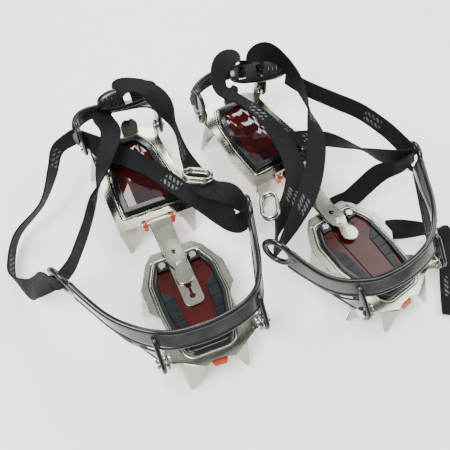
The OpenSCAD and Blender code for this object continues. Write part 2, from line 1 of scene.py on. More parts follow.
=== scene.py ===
"""A pair of strap-on crampons: the looks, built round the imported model."""

import json
import math

import bpy
from mathutils import Matrix, Vector


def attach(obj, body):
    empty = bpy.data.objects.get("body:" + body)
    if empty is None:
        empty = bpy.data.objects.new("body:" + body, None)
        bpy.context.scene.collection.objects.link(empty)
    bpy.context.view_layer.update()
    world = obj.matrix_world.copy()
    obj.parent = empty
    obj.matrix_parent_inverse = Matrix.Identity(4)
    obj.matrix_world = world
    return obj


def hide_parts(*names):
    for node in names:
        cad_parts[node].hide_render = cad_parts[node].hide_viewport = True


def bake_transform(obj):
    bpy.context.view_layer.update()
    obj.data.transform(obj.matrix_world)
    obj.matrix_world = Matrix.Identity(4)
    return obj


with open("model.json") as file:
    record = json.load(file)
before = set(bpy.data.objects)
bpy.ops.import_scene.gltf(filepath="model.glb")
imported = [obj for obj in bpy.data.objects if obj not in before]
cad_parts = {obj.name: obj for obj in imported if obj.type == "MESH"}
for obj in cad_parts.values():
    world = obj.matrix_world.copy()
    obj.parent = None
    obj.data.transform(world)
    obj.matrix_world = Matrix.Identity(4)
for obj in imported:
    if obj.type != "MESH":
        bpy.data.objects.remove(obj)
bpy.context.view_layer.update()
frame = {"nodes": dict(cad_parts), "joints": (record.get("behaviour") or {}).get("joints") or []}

MM = 0.001
SIDES = ("left", "right")
JOINTS = {joint["name"]: joint for joint in frame["joints"]}

# Places on a crampon, in its own millimetres: toes towards -Y, outer side at -X
LEAF_Y = 36.6
HOOK_Y = 82.0
TOE_RIVET = Vector((44.3, -50, 41))
HEEL_RIVET = Vector((40.3, 188, 41))
LEAF_Z = 35.0
PLASTIC_T = 3.6  # thickness of the harness plates, the borders and the arms
CUT_RIM = 0.01  # the rim of a cutter, so small that it stays sharp


# ---- places -----------------------------------------------------------------


def crampon_matrix(side):
    """From a crampon's own millimetres to the row frame's metres."""
    y = Vector(JOINTS[f"{side}_bar_slide"]["axis"])
    x = Vector((y.y, -y.x, 0)) * (1 if side == "left" else -1)
    at = Vector(JOINTS[f"{side}_leaf_lift"]["pos_m"]) - y * LEAF_Y * MM
    rows = [[x[i] * MM, y[i] * MM, 0, at[i]] for i in range(2)]
    return Matrix((*rows, [0, 0, MM, 0], [0, 0, 0, 1]))


FRONT = {side: crampon_matrix(side) for side in SIDES}


def heel_reach(side):
    """How far the heel section is pulled out, in millimetres."""
    pin = FRONT[side].inverted() @ Vector(JOINTS[f"{side}_heel_pitch"]["pos_m"])
    return pin.y - HOOK_Y


HEEL = {side: FRONT[side] @ Matrix.Translation((0, heel_reach(side), 0)) for side in SIDES}


# ---- camera, floor and light --------------------------------------------------


CAMERA_AIM = Vector((-0.0117, -0.0013, 0.020))
CAMERA_AHEAD = Vector((0.4305, 0.9026, 0))
CAMERA_DISTANCE = 0.470
CAMERA_ELEVATION, CAMERA_ROLL = math.radians(58), math.radians(-1.6)
CAMERA_ANGLE = math.radians(49.774823)
FLOOR_HALF, FLOOR_DROP = 3.0, 0.0006
LIT_POINT = (0, 0, 0.03)
# name, place, size and power of each soft light
LIGHTS = [("key", (-0.55, -0.2, 1.0), 0.6, 17), ("fill", (0.8, 0.0, 0.9), 0.9, 11),
          ("back", (0.1, 0.95, 0.8), 0.7, 12)]
# The surroundings' brightness between straight down (0) and straight up (1)
SKY_STOPS = ((0.3, 0.22), (0.62, 0.42), (0.8, 0.5), (0.9, 0.85))
SKY_STRENGTH = 0.95


def aim_camera():
    aim, distance, elevation, roll = CAMERA_AIM, CAMERA_DISTANCE, CAMERA_ELEVATION, CAMERA_ROLL
    ahead = CAMERA_AHEAD.normalized()
    across = Vector((ahead.y, -ahead.x, 0))
    look = ahead * math.cos(elevation) - Vector((0, 0, math.sin(elevation)))
    up = across.cross(look)
    x = across * math.cos(roll) - up * math.sin(roll)
    y = across * math.sin(roll) + up * math.cos(roll)
    data = bpy.data.cameras.new("camera")
    data.sensor_fit = "HORIZONTAL"
    data.angle = CAMERA_ANGLE
    camera = bpy.data.objects.new("camera", data)
    rows = [[x[i], y[i], -look[i], (aim - look * distance)[i]] for i in range(3)]
    camera.matrix_world = Matrix((*rows, [0, 0, 0, 1]))
    bpy.context.scene.collection.objects.link(camera)
    bpy.context.scene.camera = camera


def area_light(name, place, aim, size, power):
    data = bpy.data.lights.new(name, "AREA")
    data.shape, data.size, data.energy = "DISK", size, power
    light = bpy.data.objects.new(name, data)
    light.location = place
    light.rotation_euler = (Vector(aim) - Vector(place)).to_track_quat("-Z", "Y").to_euler()
    bpy.context.scene.collection.objects.link(light)


def studio():
    world = bpy.data.worlds.new("studio")
    world.use_nodes = True
    tree = world.node_tree
    place = tree.nodes.new("ShaderNodeTexCoord")
    split = tree.nodes.new("ShaderNodeSeparateXYZ")
    ramp = tree.nodes.new("ShaderNodeValToRGB")
    ramp.color_ramp.elements[0].position = 0.0
    ramp.color_ramp.elements[0].color = (0.10, 0.105, 0.11, 1)
    ramp.color_ramp.elements[1].position = 1.0
    ramp.color_ramp.elements[1].color = (1.0, 1.0, 1.0, 1)
    for position, level in SKY_STOPS:
        ramp.color_ramp.elements.new(position).color = (level, level, level * 1.02, 1)
    tree.links.new(place.outputs["Generated"], split.inputs[0])
    tree.links.new(split.outputs["Z"], ramp.inputs[0])
    tree.links.new(ramp.outputs[0], tree.nodes["Background"].inputs["Color"])
    tree.nodes["Background"].inputs["Strength"].default_value = SKY_STRENGTH
    bpy.context.scene.world = world
    for name, spot, size, power in LIGHTS:
        area_light(name, spot, LIT_POINT, size, power)
    half = FLOOR_HALF
    mesh = bpy.data.meshes.new("floor")
    mesh.from_pydata([(-half, -half, 0), (half, -half, 0), (half, half, 0), (-half, half, 0)],
                     [], [(0, 1, 2, 3)])
    floor = bpy.data.objects.new("floor", mesh)
    floor.location.z = -FLOOR_DROP
    bpy.context.scene.collection.objects.link(floor)
    floor.data.materials.append(plain("floor", (0.96, 0.96, 0.955), roughness=0.9,
                                     emission_strength=0.45))


# ---- materials ------------------------------------------------------------------


SOCKETS = {"metallic": "Metallic", "coat_weight": "Coat Weight",
           "specular_ior_level": "Specular IOR Level", "roughness": "Roughness",
           "emission_strength": "Emission Strength"}


def shader(name):
    made = bpy.data.materials.new(name)
    made.use_nodes = True
    return made, made.node_tree, made.node_tree.nodes["Principled BSDF"]


def plain(name, colour, **sockets):
    made, _, surface = shader(name)
    surface.inputs["Base Color"].default_value = (*colour, 1)
    for socket, value in sockets.items():
        surface.inputs[SOCKETS[socket]].default_value = value
    return made


def noise(tree, scale, detail=3.0, stretch=(1, 1, 1)):
    place = tree.nodes.new("ShaderNodeTexCoord")
    mapping = tree.nodes.new("ShaderNodeMapping")
    mapping.inputs["Scale"].default_value = stretch
    made = tree.nodes.new("ShaderNodeTexNoise")
    made.inputs["Scale"].default_value = scale
    made.inputs["Detail"].default_value = detail
    tree.links.new(place.outputs["Object"], mapping.inputs[0])
    tree.links.new(mapping.outputs[0], made.inputs["Vector"])
    return made.outputs["Fac"]


def math_node(tree, operation, *values):
    made = tree.nodes.new("ShaderNodeMath")
    made.operation = operation
    for i, value in enumerate(values):
        if isinstance(value, (int, float)):
            made.inputs[i].default_value = value
        else:
            tree.links.new(value, made.inputs[i])
    return made.outputs[0]


def vary(tree, surface, socket, factor, low, high, start=0.3, end=0.7):
    """The socket runs from low to high as the factor goes from start to end."""
    ramp = tree.nodes.new("ShaderNodeValToRGB")
    for element, place, value in zip(ramp.color_ramp.elements, (start, end), (low, high)):
        element.position = place
        element.color = (*value, 1) if isinstance(value, tuple) else (value, value, value, 1)
    tree.links.new(factor, ramp.inputs[0])
    tree.links.new(ramp.outputs[0], surface.inputs[socket])


def bump(tree, surface, height, depth, strength=0.5):
    made = tree.nodes.new("ShaderNodeBump")
    made.inputs["Strength"].default_value = strength
    made.inputs["Distance"].default_value = depth
    tree.links.new(height, made.inputs["Height"])
    tree.links.new(made.outputs[0], surface.inputs["Normal"])


def textured(name, low, high, rough, grain_scale, grain_depth, stretch=(1, 1, 1), patch=90, **fixed):
    """A surface whose colour and gloss drift in patches, with a fine grain."""
    made, tree, surface = shader(name)
    patches = noise(tree, patch, 4)
    vary(tree, surface, "Base Color", patches, low, high)
    vary(tree, surface, "Roughness", noise(tree, patch * 2.3, 3), rough[0], rough[1])
    if grain_depth:
        bump(tree, surface, noise(tree, grain_scale, 2, stretch), grain_depth)
    for socket, value in fixed.items():
        surface.inputs[SOCKETS[socket]].default_value = value
    return made


# The webbing's weave and its dashes, in metres; MARK_SHARE is a share of MARK_PERIOD
RIB_PITCH, YARN_PITCH = 0.0013, 0.0016
MARK_PERIOD, MARK_START, MARK_SHARE = 0.118, 0.02, 0.17
MARK_OFFSET, MARK_HALF = 0.0034, 0.0021
DASH_PITCH, DASH_SLANT = 0.0052, 0.7


def webbing_material():
    """Black ribbed webbing with pale woven dashes; its UV map is in metres, along and across."""
    made, tree, surface = shader("webbing")
    uv = tree.nodes.new("ShaderNodeUVMap")
    uv.uv_map = "web"
    split = tree.nodes.new("ShaderNodeSeparateXYZ")
    tree.links.new(uv.outputs[0], split.inputs[0])
    along, across = split.outputs["X"], split.outputs["Y"]
    rib = math_node(tree, "SINE", math_node(tree, "MULTIPLY", along, 2 * math.pi / RIB_PITCH))
    yarn = math_node(tree, "SINE", math_node(tree, "MULTIPLY", across, 2 * math.pi / YARN_PITCH))
    weave = math_node(tree, "ADD", rib, math_node(tree, "MULTIPLY", yarn, 0.35))
    bump(tree, surface, weave, 0.00022, 0.8)
    off = math_node(tree, "ABSOLUTE", across)
    patch = math_node(tree, "LESS_THAN", math_node(tree, "FRACT", math_node(
        tree, "DIVIDE", math_node(tree, "ADD", along, MARK_START), MARK_PERIOD)), MARK_SHARE)
    middle = math_node(tree, "LESS_THAN", math_node(tree, "ABSOLUTE", math_node(
        tree, "SUBTRACT", off, MARK_OFFSET)), MARK_HALF)
    slant = math_node(tree, "ADD", along, math_node(tree, "MULTIPLY", across, DASH_SLANT))
    dash = math_node(tree, "LESS_THAN", math_node(tree, "FRACT", math_node(
        tree, "DIVIDE", slant, DASH_PITCH)), 0.5)
    mark = math_node(tree, "MULTIPLY", math_node(tree, "MULTIPLY", patch, middle), dash)
    worn = math_node(tree, "MULTIPLY", mark, math_node(tree, "GREATER_THAN", noise(tree, 900), 0.44))
    mix = tree.nodes.new("ShaderNodeMix")
    mix.data_type = "RGBA"
    mix.inputs["A"].default_value = (0.0045, 0.0052, 0.0062, 1)
    mix.inputs["B"].default_value = (0.17, 0.18, 0.19, 1)
    tree.links.new(worn, mix.inputs["Factor"])
    tree.links.new(mix.outputs["Result"], surface.inputs["Base Color"])
    vary(tree, surface, "Roughness", noise(tree, 400), 0.62, 0.8)
    surface.inputs["Specular IOR Level"].default_value = 0.22
    return made


STEEL = textured("steel", (0.31, 0.315, 0.255), (0.41, 0.415, 0.345), (0.16, 0.23), 2600, 0.000008,
                 (1, 0.15, 1), patch=30, metallic=1.0)
BRIGHT = textured("bright_steel", (0.62, 0.62, 0.60), (0.74, 0.74, 0.72), (0.12, 0.2), 3000, 0.00001,
                  metallic=1.0)
MAROON = textured("maroon_plastic", (0.024, 0.0022, 0.0016), (0.048, 0.004, 0.0028), (0.14, 0.22), 2200,
                  0.00001, patch=40, specular_ior_level=0.24, coat_weight=0.06)
PANEL = textured("dark_panel", (0.006, 0.006, 0.007), (0.085, 0.008, 0.006), (0.03, 0.06), 1500,
                 0, patch=26, specular_ior_level=0.8)
ORANGE = textured("orange_plastic", (0.36, 0.026, 0.004), (0.48, 0.046, 0.007), (0.3, 0.42), 1800, 0.00003)
PAD = textured("pad_rubber", (0.004, 0.006, 0.0075), (0.010, 0.014, 0.016), (0.22, 0.36), 2400, 0.00002,
               specular_ior_level=0.22)
BLACK = textured("black_rubber", (0.004, 0.005, 0.006), (0.009, 0.010, 0.011), (0.12, 0.24), 1800,
                 0.00003, patch=60)
BUCKLE = textured("black_plastic", (0.006, 0.007, 0.008), (0.013, 0.015, 0.017), (0.14, 0.24), 1600,
                  0.00004)
BEAD = textured("bead", (0.006, 0.007, 0.007), (0.014, 0.015, 0.015), (0.1, 0.18), 900, 0)
SMOKE = textured("smoke", (0.024, 0.027, 0.026), (0.054, 0.057, 0.054), (0.12, 0.2), 700, 0,
                 patch=50, coat_weight=0.6)
WEBBING = webbing_material()


# ---- mesh helpers -----------------------------------------------------------------


def smooth(obj, angle=35):
    obj.data.shade_smooth()
    sharp = math.radians(angle)
    obj.data.set_sharp_from_angle(angle=sharp)


def new_object(name, points, faces, place, material, slot, uv=None):
    """A mesh object from points in millimetres, placed in the row frame."""
    mesh = bpy.data.meshes.new(name)
    mesh.from_pydata([place @ Vector(p) for p in points], [], faces)
    if uv:
        layer = mesh.uv_layers.new(name="web")
        for loop in mesh.loops:
            layer.data[loop.index].uv = uv[loop.vertex_index]
    if place.determinant() < 0:
        mesh.flip_normals()
    mesh.validate()
    mesh.materials.append(material)
    obj = bpy.data.objects.new(name, mesh)
    bpy.context.scene.collection.objects.link(obj)
    smooth(obj)
    return obj


def ride(parts, body):
    for part in parts:
        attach(part, body)


def skin(rings, closed=False):
    """The faces over rings of equally many points, with an end cap on each side."""
    n, count = len(rings[0]), len(rings)
    faces = []
    for r in range(count if closed else count - 1):
        a, b = r * n, (r + 1) % count * n
        faces += [(a + k, a + (k + 1) % n, b + (k + 1) % n, b + k) for k in range(n)]
    if not closed:
        faces += [tuple(range(n))[::-1], tuple(range((count - 1) * n, count * n))]
    return [p for ring in rings for p in ring], faces


def curve_through(values, per=8):
    """Values on a smooth curve through the given ones, per of them on each stretch."""
    out = []
    last = len(values) - 1
    for i in range(last):
        a, b, c, d = (Vector(values[max(0, min(last, i + k))]) for k in (-1, 0, 1, 2))
        for k in range(per):
            t = k / per
            out.append(0.5 * (2 * b + (c - a) * t + (2 * a - 5 * b + 4 * c - d) * t ** 2
                              + (3 * b - a - 3 * c + d) * t ** 3))
    return out + [Vector(values[-1])]


def directions(points, closed=False):
    last = len(points) - 1
    if closed:
        return [(points[(i + 1) % (last + 1)] - points[i - 1]).normalized() for i in range(last + 1)]
    return [(points[min(i + 1, last)] - points[max(i - 1, 0)]).normalized() for i in range(last + 1)]


def tube(name, points, radius, place, material, slot, closed=False, sides=12, taper=False):
    """A round bead that follows the points; with taper, its ends are rounded off."""
    rings, normal = [], None
    last = len(points) - 1
    for i, (p, t) in enumerate(zip(points, directions(points, closed))):
        if normal is None:
            normal = t.orthogonal()
        normal = (normal - t * normal.dot(t)).normalized()
        other = t.cross(normal)
        end = min(i, last - i)
        r = radius * (math.sqrt(1 - (1 - end / 2) ** 2) if taper and end < 2 else 1)
        r = max(r, radius * 0.25)
        rings.append([p + (normal * math.cos(a) + other * math.sin(a)) * r
                      for a in (2 * math.pi * k / sides for k in range(sides))])
    return new_object(name, *skin(rings, closed), place, material, slot)


def circle(centre, radius, count=40):
    return [(centre[0] + radius * math.cos(2 * math.pi * k / count),
             centre[1] + radius * math.sin(2 * math.pi * k / count)) for k in range(count)]


def round_hull(r0, r1, gap, count=20):
    """The outline round a circle at the origin and one at (0, gap)."""
    lean = math.asin((r0 - r1) / gap)
    upper = [lean + (math.pi - 2 * lean) * k / count for k in range(count + 1)]
    lower = [math.pi - lean + (math.pi + 2 * lean) * k / count for k in range(count + 1)]
    return ([(r1 * math.cos(a), gap + r1 * math.sin(a)) for a in upper]
            + [(r0 * math.cos(a), r0 * math.sin(a)) for a in lower])


def plate(name, loops, thickness, rim, place, material, slot):
    """A flat plate with rounded edges: the first loop is its outline, the others are holes."""
    curve = bpy.data.curves.new(name, "CURVE")
    curve.dimensions, curve.fill_mode = "2D", "BOTH"
    curve.extrude, curve.bevel_depth, curve.offset = thickness / 2 - rim, rim, -rim
    curve.bevel_resolution = 3
    for loop in loops:
        spline = curve.splines.new("POLY")
        spline.points.add(len(loop) - 1)
        for point, p in zip(spline.points, loop):
            point.co = (p[0], p[1], 0, 1)
        spline.use_cyclic_u = True
    source = bpy.data.objects.new(name + "_outline", curve)
    mesh = bpy.data.meshes.new_from_object(source)
    bpy.data.objects.remove(source)
    bpy.data.curves.remove(curve)
    points = [v.co.copy() for v in mesh.vertices]
    faces = [tuple(f.vertices) for f in mesh.polygons]
    bpy.data.meshes.remove(mesh)
    obj = new_object(name, points, faces, place, material, slot)
    weld = obj.modifiers.new("weld", "WELD")
    weld.merge_threshold = 0.00001
    return obj


def carve(obj, cutter):
    """Cuts one object out of another, for good."""
    cut = obj.modifiers.new("cut", "BOOLEAN")
    cut.object, cut.operation, cut.solver = cutter, "DIFFERENCE", "EXACT"
    bpy.context.view_layer.update()
    shaped = bpy.data.meshes.new_from_object(obj.evaluated_get(bpy.context.evaluated_depsgraph_get()))
    obj.modifiers.clear()
    obj.data = shaped
    bpy.data.objects.remove(cutter)
    smooth(obj)


# ---- webbing ------------------------------------------------------------------------

WEB_W, WEB_T = 20.0, 1.7
FINE = 2.5  # spacing of a web's cross-sections
# Routes as [centre, direction across], in a crampon's own millimetres
ROUTES = {
    "left_strap_1": [
        [(-14, 199, 64), (4, 1, 0)], [(-12, 177, 62), (4, 1, 0)], [(-29, 147, 57), (4, 1, 2)],
        [(-43, 121, 54), (2, 1, 4)], [(-53, 103, 58), (0, 0, 1)], [(-64, 80, 62), (0, 0, 1)],
        [(-75, 60, 66), (0, 0, 1)], [(-84, 46, 68), (0, 0, 1)]],
    "left_strap_2": [
        [(-106, 42, 64), (0, 1, 2)], [(-118, 52, 45), (1, 2, 2)], [(-128, 64, 24), (1, 1, 3)],
        [(-139, 82, 13), (0, 0, 1)], [(-141, 100, 12), (0, 0, 1)], [(-128, 130, 16), (1, 0, 3)],
        [(-97, 147, 28), (1, 0, 2)], [(-78, 170, 40), (0, 0, 1)], [(-66, 187, 50), (0, 0, 1)],
        [(-50, 190, 56), (0, 0, 1)]],
    "left_strap_3": [
        [(-32, 180, 54), (0, 1, 3)], [(-22, 170, 47), (1, 4, 2)], [(-6, 158, 43), (1, 3, 1)],
        [(12, 134, 43), (4, 2, 0)], [(27, 104, 44), (4, 2, 0)], [(40, 74, 52), (4, 2, 1)],
        [(50, 48, 58), (4, 2, 2)], [(58, 32, 62), (2, 0, 3)]],
    "left_strap_4": [
        [(8, 203, 88), (0, 2, 1)], [(19, 199, 93), (1, 3, 0)],
        [(32, 191, 91), (2, 2, 0)], [(42, 176, 82), (2, 0, 1)], [(46, 152, 70), (0, 0, 1)],
        [(44, 122, 60), (1, 0, 3)], [(44, 92, 62), (3, 0, 2)], [(48, 72, 68), (3, 1, 1)],
        [(58, 58, 74), (2, 2, 1)]],
    "right_strap_1": [
        [(-14, 225, 84), (1, 2, 1)], [(-2, 226, 86), (0, 2, 1)], [(12, 218, 84), (1, 2, 2)],
        [(20, 202, 76), (2, 0, 1)], [(6, 186, 66), (2, -1, 1)], [(-8, 160, 54), (3, 0, 1)],
        [(-7, 125, 48), (3, 1, 0)], [(6, 92, 48), (3, 1, 0)], [(30, 68, 54), (1, 2, 1)],
        [(62, 48, 62), (0, 1, 2)]],
    "right_strap_2": [
        [(-30, 214, 84), (0, 1, 1)], [(-40, 209, 91), (0, 1, 2)], [(-49, 192, 86), (0, 0, 1)],
        [(-51, 168, 77), (0, 0, 1)], [(-46, 142, 68), (1, 0, 3)], [(-32, 110, 60), (3, 1, 1)],
        [(-10, 84, 58), (2, 2, 1)], [(16, 62, 62), (1, 2, 1)], [(44, 44, 68), (1, 2, 3)]],
    "right_strap_3": [
        [(-56, 192, 64), (0, 0, 1)], [(-61, 165, 66), (0, 0, 1)], [(-70, 134, 70), (0, 0, 1)],
        [(-80, 104, 73), (0, 0, 1)], [(-84, 74, 74), (0, 0, 1)], [(-84, 54, 74), (0, 0, 1)]],
    "right_strap_4": [
        [(-72, 44, 68), (0, 0, 1)], [(-68, 60, 58), (1, 0, 3)], [(-63, 86, 48), (3, -1, 2)],
        [(-48, 112, 45), (1, -1, 0)], [(-24, 128, 45), (1, -2, 0)], [(-2, 138, 42), (1, -2, 0)]],
    "right_strap_5": [
        [(-74, 36, 62), (0, 0, 1)], [(-62, 46, 50), (0, 1, 2)], [(-48, 50, 30), (0, 1, 2)],
        [(-40, 54, 12), (0, 1, 1)], [(-24, 58, 8), (0, 1, 0)]],
    "right_strap_6": [
        [(-50, 8, 8), (0, 1, 0)], [(-66, -4, 10), (0, 1, 1)], [(-80, -16, 14), (1, 1, 1)],
        [(-84, -26, 22), (3, -1, 0)], [(-76, -44, 16), (3, -1, 0)], [(-60, -68, 4), (3, -1, 0)],
        [(-40, -92, 3), (3, -1, 0)]]}

# Each web in stretches: the share of its length where the stretch ends, and the bodies, without
# the side's name, that its two ends follow
RUNS = {
    "left_strap_1": [(0.36, "heel_strap", "heel"), (0.53, "heel", "bar"), (0.66, "bar", "front"),
                     (1, "front", "toe_strap")],
    "left_strap_2": [(0.2, "toe_strap", "front"), (0.68, "front", "bar"), (0.82, "bar", "heel"),
                     (1, "heel", "heel_strap")],
    "left_strap_3": [(0.3, "heel_strap", "heel"), (0.5, "heel", "bar"), (0.65, "bar", "front"),
                     (1, "front", "toe_strap")],
    "left_strap_4": [(0.6, "heel_strap", "heel"), (0.7, "heel", "bar"), (0.8, "bar", "front"),
                     (1, "front", "toe_strap")],
    "right_strap_1": [(0.49, "heel_strap", "heel"), (0.6, "heel", "bar"), (0.72, "bar", "front"),
                      (1, "front", "toe_strap")],
    "right_strap_2": [(0.52, "heel_strap", "heel"), (0.63, "heel", "bar"), (0.74, "bar", "front"),
                      (1, "front", "toe_strap")],
    "right_strap_3": [(0.3, "heel_strap", "heel"), (0.5, "heel", "bar"), (0.66, "bar", "front"),
                      (1, "front", "toe_strap")],
    "right_strap_4": [(0.5, "toe_strap", "front"), (0.7, "front", "bar"), (1, "bar", "heel")],
    "right_strap_5": [(1, "toe_strap", "front")],
    "right_strap_6": [(1, "front", "front")]}


# The ends of the webs that run on, into the harness eyes, the arm slot and the buckles
OUTER_EYE = {"left": [(-96, 36, 69), (0, 0, 1)], "right": [(-87, 35, 69), (0, 0, 1)]}
INNER_EYE = {"left": [(70, 35.5, 69), (0, 0, 1)], "right": [(82.5, 24, 69), (0, 0, 1)]}
TAILS = {
    "left_strap_1": ([[(-6, 202, 72), (4, 2, 0)]], [OUTER_EYE["left"]]),
    "left_strap_2": ([OUTER_EYE["left"], [(-101, 37, 67), (0, 1, 6)]], [[(-42, 190, 58.5), (0, 0, 1)]]),
    "left_strap_3": ([[(-42, 189.5, 57.5), (0, 0, 1)]], [INNER_EYE["left"]]),
    "left_strap_4": ([[(6, 203, 80), (0, 2, 1)]], [[(66, 45, 71), (1, 0, 3)], INNER_EYE["left"]]),
    "right_strap_1": ([[(-18, 214, 76), (1, 2, 1)]], [[(76, 34, 67), (0, 0, 1)], INNER_EYE["right"]]),
    "right_strap_2": ([[(-29, 208, 74), (0, 1, 1)]], [[(66, 32, 70), (0, 1, 3)], INNER_EYE["right"]]),
    "right_strap_3": ([], [OUTER_EYE["right"]]),
    "right_strap_4": ([OUTER_EYE["right"]], []),
    "right_strap_5": ([OUTER_EYE["right"]], [])}


def web_stations(route):
    """Evenly spaced (centre, direction across, direction along, length so far) of a route."""
    centres = [Vector(c) for c, _ in route]
    along = directions(centres)
    across = [(Vector(v) - t * Vector(v).dot(t)).normalized() for (_, v), t in zip(route, along)]
    fine = curve_through([(*c, *v) for c, v in zip(centres, across)], 16)
    points = [Vector(v[:3]) for v in fine]
    lengths = [0.0]
    for a, b in zip(points, points[1:]):
        lengths.append(lengths[-1] + (b - a).length)
    count = max(8, round(lengths[-1] / FINE))
    even, i = [], 0
    for k in range(count + 1):
        at = lengths[-1] * k / count
        while i < len(points) - 2 and lengths[i + 1] < at:
            i += 1
        share = (at - lengths[i]) / max(lengths[i + 1] - lengths[i], 1e-9)
        even.append((fine[i].lerp(fine[i + 1], share), at))
    tangents = directions([Vector(v[:3]) for v, _ in even])
    out = []
    for (v, at), t in zip(even, tangents):
        w = Vector(v[3:])
        out.append((Vector(v[:3]), (w - t * w.dot(t)).normalized(), t, at))
    return out


def web_ring(centre, across, along):
    """The web's section: flat, with rounded and slightly thicker selvages."""
    up = along.cross(across)
    half, t = WEB_W / 2, WEB_T / 2
    shape = [(-half, 0), (-half + 0.4, t * 0.9), (-half + 1.4, t), (-half + 2.6, t * 0.8),
             (0, t * 0.8), (half - 2.6, t * 0.8), (half - 1.4, t), (half - 0.4, t * 0.9), (half, 0)]
    section = shape + [(a, -b) for a, b in reversed(shape[1:-1])]
    return [centre + across * a + up * b for a, b in section], [a for a, _ in section]


def web_piece(name, stations, side, a, b):
    """One stretch of a web: attached to its body when both ends follow the same one, otherwise left
    unattached where it lies.
    """
    rings, uv = [], []
    for centre, across, along, at in stations:
        ring, offsets = web_ring(centre, across, along)
        rings.append(ring)
        uv += [(at * MM, off * MM) for off in offsets]
    piece = new_object(name, *skin(rings), FRONT[side], WEBBING, "webbing", uv)
    if a == b:
        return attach(piece, f"{side}_{a}")
    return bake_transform(piece)


def webs():
    """Every web in its stretches."""
    made = {}
    for node, route in ROUTES.items():
        side = node.split("_")[0]
        before, after = TAILS.get(node, ([], []))
        stations = web_stations(before + route + after)
        whole, first, pieces = stations[-1][3], 0, []
        for i, (share, a, b) in enumerate(RUNS[node]):
            last = min(range(len(stations)), key=lambda k: abs(stations[k][3] - whole * share))
            cut = stations[first:last + 1]
            piece = web_piece(f"{node}_{'abcd'[i]}", cut, side, a, b)
            path = [FRONT[side] @ c for c, _, _, _ in cut]
            pieces.append((piece, path, (cut[-1][3] - cut[0][3]) * MM))
            first = last
        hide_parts(node)
        made[node] = pieces
    return made


# ---- harnesses ------------------------------------------------------------------------

# Stations of the bands, each [upper edge, lower edge], outer end first
TOE_BAND = [
    [(-86, 27, 79), (-86, 25, 59)], [(-78, 10, 73), (-78, 9, 54)], [(-68, -8, 69), (-68, -12, 51)],
    [(-56, -22, 67), (-58, -29, 50)], [(-42, -33, 66), (-46, -42, 51)],
    [(-25, -40, 65), (-30, -51, 52)], [(0, -43, 66), (0, -55, 52)]]
HEEL_BAND = {
    "left": [
        [(-44, 190, 67), (-45, 186, 49)], [(-39, 202, 69), (-41, 202, 53)],
        [(-28, 208, 70), (-29, 209, 55)], [(-9, 209, 68), (-10, 210, 56)],
        [(10, 208, 64), (10, 209, 55)], [(28, 205, 64), (28, 206, 55)],
        [(38, 199, 64), (39, 200, 54)], [(41, 191, 63), (41.5, 189, 51)]],
    "right": [
        [(-41.5, 184, 61.5), (-42, 184, 50)], [(-36, 194, 64), (-37, 194, 53)],
        [(-26, 197, 65), (-27, 198, 55)], [(-8, 204, 67), (-9, 205, 56)],
        [(10, 207, 71), (11, 208, 56)], [(28, 204, 71), (29, 205, 55)],
        [(38, 200, 69), (39, 200.5, 53)], [(43, 196.5, 67), (43.8, 196.5, 51)]]}
# How far each toe arm spreads and falls short, outer arm first; the side of the heel's broad arm,
# in a crampon's own X; the heel buckle's place and turn in degrees
TOE_ARMS = {"left": [(1.1, 0), (0.52, 0)], "right": [(0.9, 0), (0.8, 12)]}
BROAD_SIDE = {"left": -1, "right": 1}
HEEL_BUCKLE = {"left": ((16, 203, 77), (60, -6, -5)), "right": ((-28, 182, 73), (40, 0, 22))}
EAR_R, EAR_HOLE_R = 15.0, 9.5
DECK_Z = 30.0
BAR_GATE = 13.5  # half the width of the gap that the centre bar slides through
BEAD_R = 2.3


def pulled(p, arm):
    spread, short = arm
    reach = max(0, -46 - p[0])
    return Vector((p[0] - reach * (spread - 1), p[1] - reach / 40 * short, p[2]))


def flipped(p):
    return Vector((-p[0], p[1], p[2]))


def toe_half(arm):
    return [[pulled(u, arm), pulled(w, arm)] for u, w in TOE_BAND]


def toe_band(side):
    outer, inner = (toe_half(arm) for arm in TOE_ARMS[side])
    return outer + [[flipped(u), flipped(w)] for u, w in inner[-2::-1]]


def fine_band(stations):
    """Upper edge, lower edge and outward direction along a band."""
    fine = curve_through([(*u, *w) for u, w in stations], 8)
    upper, lower = [Vector(v[:3]) for v in fine], [Vector(v[3:]) for v in fine]
    along = directions([(u + w) / 2 for u, w in zip(upper, lower)])
    out = [t.cross(w - u).normalized() for t, u, w in zip(along, upper, lower)]
    return upper, lower, out


def band(name, stations, place, body, slim):
    """A thin domed web between two round beads; slim is how much of its height its middle keeps."""
    upper, lower, out = fine_band(stations)
    last = len(upper) - 1
    rings = []
    for i, (u, n) in enumerate(zip(upper, out)):
        middle = min(1, 3.2 * min(i, last - i) / last)
        lower[i] = u.lerp(lower[i], 1 - (1 - slim) * middle * middle * (3 - 2 * middle))
        w = lower[i]
        section = [(0.04, 1.2), (0.2, 2.2), (0.4, 2.9), (0.5, 3.0), (0.6, 2.9), (0.8, 2.2), (0.96, 1.2)]
        rings.append([u.lerp(w, a) + n * b for a, b in section]
                     + [u.lerp(w, a) - n * min(b, 1.3) for a, b in reversed(section)])
    parts = [new_object(name + "_web", *skin(rings), place, SMOKE, "harness_smoke"),
             tube(name + "_upper_bead", upper, BEAD_R, place, BEAD, "harness_smoke", taper=True),
             tube(name + "_lower_bead", lower, BEAD_R * 0.85, place, BEAD, "harness_smoke", taper=True)]
    ride(parts, body)
    return parts


def upright(origin, x, outward):
    """A matrix with local X along x, local Z close to outward."""
    x = Vector(x).normalized()
    z = (Vector(outward) - x * Vector(outward).dot(x)).normalized()
    y = z.cross(x)
    rows = [[x[i], y[i], z[i], origin[i]] for i in range(3)]
    return Matrix((*rows, [0, 0, 0, 1]))


def lifted(loop):
    return [Vector((p[0], p[1], 0)) for p in loop]


